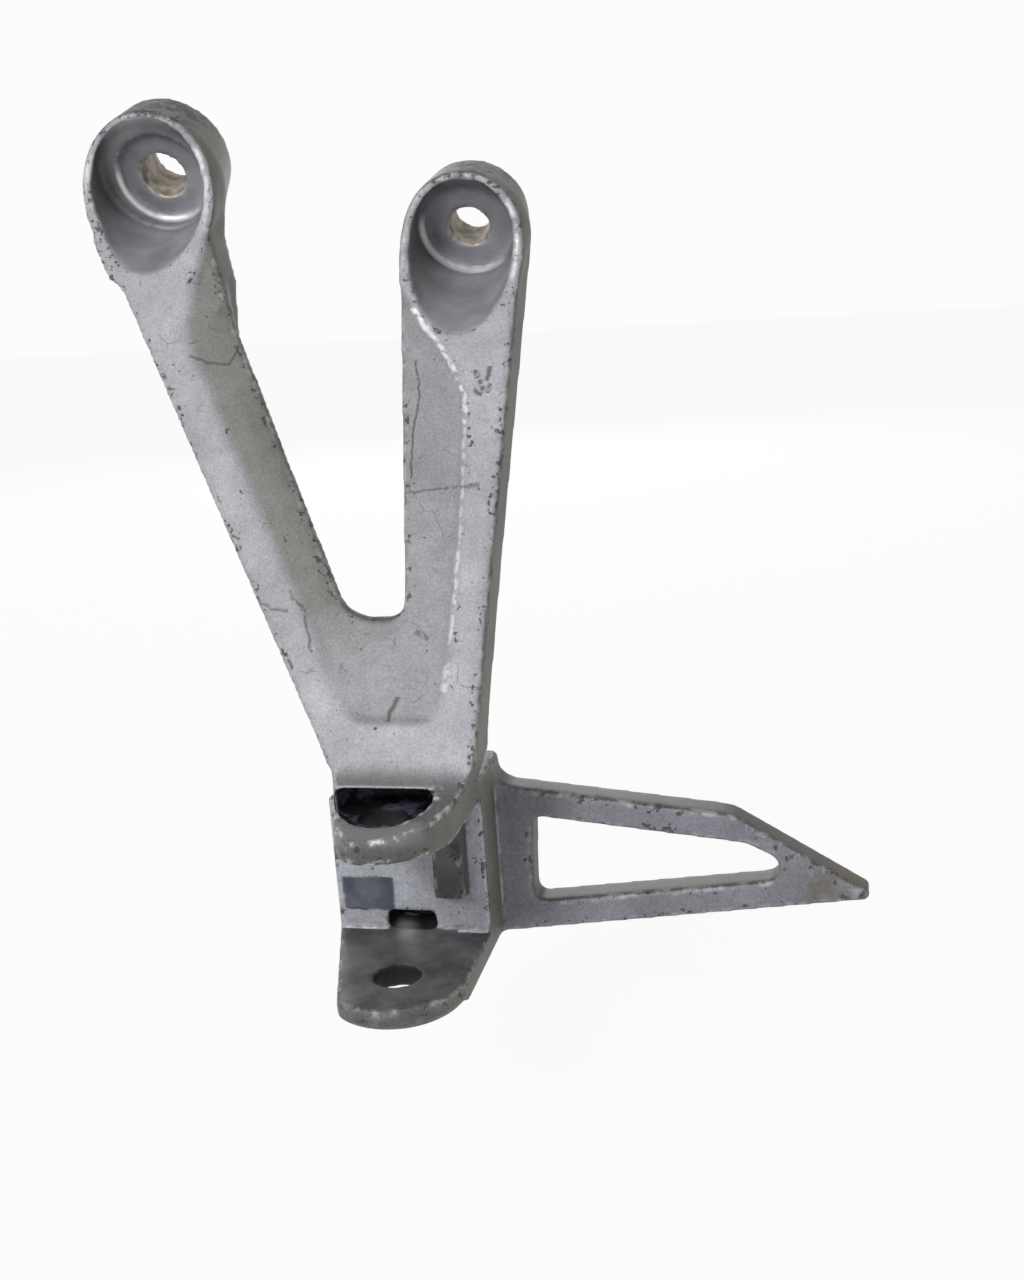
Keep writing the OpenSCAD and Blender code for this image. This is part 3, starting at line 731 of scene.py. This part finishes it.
def dressClevis(tree, place, axes, view, colour):
    look = castingLook
    zones = look["zones"]

    # machined top of the lower ear
    level = rampNode(tree, mathNode(tree, "ABSOLUTE", axes["z"]), 0.00025, 0.0004, 1.0, 0.0)
    inFront = rampNode(tree, axes["y"], clevisWall - 0.0001, clevisWall + 0.0002, 1.0, 0.0)
    flat = mathNode(tree, "MULTIPLY", level, inFront)
    wipe = rampNode(tree, noiseNode(tree, place, 75.0, 6.0, 0.65), 0.32, 0.7, 0.55, 1.6)
    colour = mixColour(tree, flat, colour, shaded(tree, look["earTop"], wipe))

    # old oil on the wall, with a darker outline
    loose = {"x": view[0], "y": axes["y"], "z": view[1]}
    stain = blockMask(tree, loose, zones["stain"], 0.5)
    cloudy = rampNode(tree, noiseNode(tree, place, 170.0, 4.0), 0.3, 0.7, 0.8, 1.0)
    colour = mixColour(tree, mathNode(tree, "MULTIPLY", stain, cloudy), colour, look["stain"])
    outline = times(tree, stain, mathNode(tree, "SUBTRACT", 1.0, stain), 3.4,
                    rampNode(tree, noiseNode(tree, place, 200.0, 3.0), 0.4, 0.6))
    colour = mixColour(tree, outline, colour, look["stainEdge"])

    # a lighter, flatter ledge in front of the clip pocket, and a slot painted black inside: painted shade
    ledge = mathNode(tree, "MULTIPLY", blockMask(tree, axes, zones["ledge"], 0.9), 0.75)
    colour = mixColour(tree, ledge, colour, look["ledge"])
    colour = mixColour(tree, blockMask(tree, axes, zones["slot"], 0.25), colour, look["grimeAndShade"])

    # grime and painted shade in the clip pocket and in the pin bore, with oil whose bluish patches are
    # painted reflections
    for centre, radius, low, high, wet in (
        (clipPocket["centre"], clipPocket["radius"], upperFloor - 0.0006, upperFloor + 0.0065, 0.9),
        ((0, 0, 0), pinRadius + 0.0003, -0.02, upperFloor + 0.001, 0.1),
    ):
        zone = useGroup(tree, roundZone, Place=place, Centre=centre, Axis=(0, 0, 1),
                        Radius=radius, Edge=0.0002, From=low, To=high)
        oily = rampNode(tree, noiseNode(tree, place, 210.0, 4.0, 0.6), 0.47, 0.62, 0.0, wet)
        # bluish oil patches: painted reflection; black: grime and painted shade
        dirt = mixColour(tree, oily, look["grimeAndShade"], look["oilAndReflection"])
        colour = mixColour(tree, zone.outputs["Mask"], colour, dirt)

    # rust and dirt at the wing's tip
    tip = useGroup(tree, roundZone, Place=place, Centre=look["tip"]["centre"], Axis=(0, 1, 0),
                   Radius=look["tip"]["radius"], Edge=0.0035, From=-0.03, To=0.03)
    cloudy = rampNode(tree, noiseNode(tree, place, 200.0, 4.0, 0.65), 0.36, 0.6)
    rusty = times(tree, tip.outputs["Mask"], cloudy, 0.6)
    return mixColour(tree, rusty, colour, look["rust"]), flat


# Two coordinates of a front view that wander a little, so that lines drawn in it aren't ruled
def frontView(tree, place, axes):
    wander = mathNode(tree, "SUBTRACT", noiseNode(tree, place, 420.0, 2.0), 0.5)
    wander = mathNode(tree, "MULTIPLY", wander, castingLook["wander"])
    return mathNode(tree, "ADD", axes["x"], wander), mathNode(tree, "ADD", axes["z"], wander)


# 1 on the given lines, each a list of points with a width and a strength
def linesMask(tree, view, lines):
    drawn = None
    for points, width, strength in lines:
        for (x0, z0), (x1, z1) in zip(points, points[1:]):
            length = math.hypot(x1 - x0, z1 - z0)
            c, s = (x1 - x0) / length, (z1 - z0) / length
            along = mathNode(tree, "MULTIPLY_ADD", view[0], c, -(x0 * c + z0 * s) / 1000)
            along = mathNode(tree, "MULTIPLY_ADD", view[1], s, along)
            across = mathNode(tree, "MULTIPLY_ADD", view[0], -s, (x0 * s - z0 * c) / 1000)
            across = mathNode(tree, "MULTIPLY_ADD", view[1], c, across)
            near = rampNode(tree, mathNode(tree, "ABSOLUTE", across), 0.0, width / 1000, strength, 0.0)
            inside = mathNode(tree, "COMPARE", along, length / 2000, length / 2000 + width / 4000)
            mask = mathNode(tree, "MULTIPLY", near, inside)
            drawn = mask if drawn is None else mathNode(tree, "MAXIMUM", drawn, mask)
    return drawn


# Scratches, a brown mark and painted highlights along the ridges of the arms
def markArms(tree, place, axes, view, facing, broken, colour):
    look = castingLook
    belowPockets = rampNode(tree, axes["z"], 0.137, 0.14, 1.0, 0.0)
    scratched = times(tree, linesMask(tree, view, look["scratches"]), broken, belowPockets)
    colour = mixColour(tree, scratched, colour, look["chipAndShade"])
    brown = mathNode(tree, "MULTIPLY", linesMask(tree, view, [look["brownMark"]]), facing)
    colour = mixColour(tree, brown, colour, look["mark"])
    dotted = rampNode(tree, noiseNode(tree, place, 520.0, 3.0, 0.6), 0.42, 0.56, 0.12, 1.0)
    return colour, scratched, times(tree, linesMask(tree, view, look["glints"]), dotted, facing)


# Painted highlights on corners of the clevis wall, and a bright fleck beside the clip pocket
def shineClevis(tree, place, axes, view, broken):
    look = castingLook
    onWall = rampNode(tree, axes["y"], 0.0195, 0.0205)
    glints = linesMask(tree, view, look["clevisGlints"])
    paintedGlint = times(tree, glints, rampNode(tree, broken, 0.0, 0.3), onWall)
    corner = useGroup(tree, roundZone, Place=place, Centre=look["fleck"]["centre"], Axis=(0, 0, 1),
                      Radius=look["fleck"]["radius"], Edge=0.0007, From=-0.004, To=0.004)
    spotty = rampNode(tree, noiseNode(tree, place, 500.0, 3.0), 0.45, 0.6)
    return times(tree, corner.outputs["Mask"], spotty, 0.8), paintedGlint


# Edges worn to bare metal: most at the upper ear's lip, a little elsewhere, none in the oily clip pocket
def wornEdges(tree, place, axes, edgeOut, onArms):
    lip = blockMask(tree, axes, castingLook["zones"]["lip"], 1.5)
    share = mathNode(tree, "MULTIPLY_ADD", lip, 0.5, 0.3)
    worn = useGroup(tree, edgeWear, Place=place, Edge=edgeOut, Strength=share).outputs["Mask"]
    if onArms:
        return worn
    oily = useGroup(tree, roundZone, Place=place, Centre=clipPocket["centre"], Axis=(0, 0, 1),
                    Radius=clipPocket["radius"], Edge=0.0003, From=-0.006, To=upperFloor + 0.0045)
    return mathNode(tree, "MULTIPLY", worn, mathNode(tree, "SUBTRACT", 1.0, oily.outputs["Mask"]))


def finishCasting(name, onArms):
    look = castingLook
    material = bpy.data.materials.new(name)
    material.use_nodes = True
    tree = material.node_tree
    tree.nodes.clear()
    output = tree.nodes.new("ShaderNodeOutputMaterial")
    shader = tree.nodes.new("ShaderNodeBsdfPrincipled")
    tree.links.new(shader.outputs[0], output.inputs["Surface"])
    place = placeNode(tree)
    split = tree.nodes.new("ShaderNodeSeparateXYZ")
    tree.links.new(place, split.inputs[0])
    axes = {"x": split.outputs["X"], "y": split.outputs["Y"], "z": split.outputs["Z"]}
    normal = tree.nodes.new("ShaderNodeTexCoord").outputs["Normal"]
    facing = rampNode(tree, vectorNode(tree, "DOT_PRODUCT", normal, (0.0, -1.0, 0.0)), 0.42, 0.84)
    backwards = rampNode(tree, vectorNode(tree, "DOT_PRODUCT", normal, (0.0, 1.0, 0.0)), 0.30, 0.80)
    upwards = rampNode(tree, vectorNode(tree, "DOT_PRODUCT", normal, (0.0, 0.0, 1.0)), 0.50, 0.84)
    grain = useGroup(tree, sparkle, Place=place, Grain=look["grain"], Depth=look["grainDepth"])
    edgeOut = attributeNode(tree, "edgeOut")
    view = frontView(tree, place, axes)
    broken = rampNode(tree, noiseNode(tree, place, 800.0, 2.0), 0.30, 0.45)
    broken = mathNode(tree, "MULTIPLY", broken, facing)

    colour = paintColour(tree, place, axes, facing, backwards, upwards, grain, onArms)
    colour, chips = addDirtAndShade(tree, place, colour, facing, edgeOut)
    if onArms:
        colour = rubBossTops(tree, place, axes, colour)
        colour, machined, bright = dressBosses(tree, place, colour, edgeOut)
        colour, scratched, paintedGlint = markArms(tree, place, axes, view, facing, broken, colour)
        dark = mathNode(tree, "MAXIMUM", scratched, chips)
    else:
        colour, machined = dressClevis(tree, place, axes, view, colour)
        bright, paintedGlint = shineClevis(tree, place, axes, view, broken)
        dark = chips
    # the glints: painted highlights in the bare colour
    colour = mixColour(tree, paintedGlint, colour, look["bareAndGlint"])
    # worn edges and rims, with the painted highlights of the seat edges; the glints' painted highlights are
    # added next
    worn = mathNode(tree, "MAXIMUM", wornEdges(tree, place, axes, edgeOut, onArms), bright)
    colour = mixColour(tree, worn, colour, look["bareAndGlint"])
    worn = mathNode(tree, "MAXIMUM", worn, paintedGlint)

    shader.inputs["Specular IOR Level"].default_value = look["specular"]
    tree.links.new(colour, shader.inputs["Base Color"])
    shine = mathNode(tree, "MAXIMUM", mathNode(tree, "MULTIPLY", machined, 0.35),
                     mathNode(tree, "MULTIPLY", worn, 0.6))
    tree.links.new(mathNode(tree, "MAXIMUM", shine, look["metal"]), shader.inputs["Metallic"])
    rough = mathNode(tree, "MULTIPLY_ADD", machined, -0.04, look["rough"])
    tree.links.new(mathNode(tree, "MULTIPLY_ADD", worn, -0.15, rough), shader.inputs["Roughness"])
    bump = tree.nodes.new("ShaderNodeBump")
    bump.inputs["Distance"].default_value = look["bumpDistance"]
    bump.inputs["Strength"].default_value = look["bumpStrength"]
    sunk = mathNode(tree, "MULTIPLY_ADD", dark, -1.5, grain.outputs["Height"])
    smooth = mathNode(tree, "SUBTRACT", 1.0, mathNode(tree, "MULTIPLY", machined, 0.8))
    tree.links.new(mathNode(tree, "MULTIPLY", sunk, smooth), bump.inputs["Height"])
    tree.links.new(bump.outputs[0], shader.inputs["Normal"])
    return material


# both materials hold wear and dirt as well as painted shade and painted highlights
casting.data.materials.clear()
casting.data.materials.append(finishCasting("clevisWearAndPaintedLight", False))
casting.data.materials.append(finishCasting("armsWearAndPaintedLight", True))
for face in casting.data.polygons:
    face.material_index = 1 if face.center.z > castingLook["split"] else 0
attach(casting, "root")
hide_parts("hanger")
print("finish made")


studio = {
    "floorZ": -0.045,
    "floorSize": 6.0,
    "floorGrey": (0.8, 0.8, 0.8, 1),
    "floorRough": 0.9,
    "floorGlow": 0.93,       # how much of the floor's own white the camera sees, the rest takes the shadow
    "white": (1, 1, 1, 1),
    "skyLevel": 0.972,       # as bright as the floor looks
    "world": 0.34,
    "lamps": [               # place, aim, size, watts
        ((-0.40, -0.97, 0.84), (0, 0.03, 0.08), 0.30, 8.6),
        ((-0.25, 1.15, 0.45), (0, 0.03, 0.08), 0.60, 5.0),
    ],
}


# 1 for the camera and for reflections, 0 for the light that falls on the object
def seenDirectly(tree):
    path = tree.nodes.new("ShaderNodeLightPath")
    return most(tree, [path.outputs["Is Camera Ray"], path.outputs["Is Glossy Ray"],
                       path.outputs["Is Transmission Ray"]])


def makeFloor():
    deselectAll()
    bpy.ops.mesh.primitive_plane_add(size=studio["floorSize"], location=(0, 0, studio["floorZ"]))
    floor = bpy.context.object
    floor.name = "floor"
    bpy.ops.object.transform_apply(location=True, rotation=True, scale=True)
    material = bpy.data.materials.new("paleFloor")
    material.use_nodes = True
    tree = material.node_tree
    shader = tree.nodes["Principled BSDF"]
    shader.inputs["Base Color"].default_value = studio["floorGrey"]
    shader.inputs["Roughness"].default_value = studio["floorRough"]
    shader.inputs["Specular IOR Level"].default_value = 0.0
    glow = tree.nodes.new("ShaderNodeEmission")
    glow.inputs["Color"].default_value = studio["white"]
    glow.inputs["Strength"].default_value = 1.0
    mix = tree.nodes.new("ShaderNodeMixShader")
    tree.links.new(mathNode(tree, "MULTIPLY", seenDirectly(tree), studio["floorGlow"]), mix.inputs[0])
    tree.links.new(shader.outputs[0], mix.inputs[1])
    tree.links.new(glow.outputs[0], mix.inputs[2])
    tree.links.new(mix.outputs[0], tree.nodes["Material Output"].inputs["Surface"])
    floor.data.materials.append(material)


def makeWorld():
    world = bpy.data.worlds.new("studioWorld")
    bpy.context.scene.world = world
    world.use_nodes = True
    tree = world.node_tree
    background = tree.nodes["Background"]
    background.inputs["Color"].default_value = studio["white"]
    strength = rampNode(tree, seenDirectly(tree), 0.0, 1.0, studio["world"], studio["skyLevel"])
    tree.links.new(strength, background.inputs["Strength"])


def makeLamps():
    for i, (place, aim, size, watts) in enumerate(studio["lamps"]):
        data = bpy.data.lights.new("softBox%d" % i, "AREA")
        data.shape = "SQUARE"
        data.size = size
        data.energy = watts
        lamp = bpy.data.objects.new("softBox%d" % i, data)
        lamp.location = place
        lamp.rotation_mode = "QUATERNION"
        lamp.rotation_quaternion = (Vector(aim) - Vector(place)).to_track_quat("-Z", "Y")
        bpy.context.scene.collection.objects.link(lamp)


# The camera as it was worked out from the clevis edges and the pin bore in the photograph
cameraFacts = {
    "place": (0.0967, -0.2811, 0.1521),
    "right": (0.9751, 0.2124, -0.0641),
    "up": (0.0055, 0.2654, 0.9641),
    "ahead": (-0.2218, 0.9404, -0.2576),
    "lens": 42.19,
    "sensor": 36,
    "clipStart": 0.01,
}


def makeCamera():
    data = bpy.data.cameras.new("photoCamera")
    data.lens = cameraFacts["lens"]
    data.sensor_width = cameraFacts["sensor"]
    data.clip_start = cameraFacts["clipStart"]
    camera = bpy.data.objects.new("photoCamera", data)
    bpy.context.scene.collection.objects.link(camera)
    right, up, ahead = (Vector(cameraFacts[k]) for k in ("right", "up", "ahead"))
    turn = Matrix((right, up, -ahead)).transposed()
    camera.rotation_mode = "QUATERNION"
    camera.rotation_quaternion = turn.to_quaternion()
    camera.location = cameraFacts["place"]
    bpy.context.scene.camera = camera


makeFloor()
makeWorld()
makeLamps()
makeCamera()
bpy.context.scene.view_settings.view_transform = "Standard"
print("stage set")
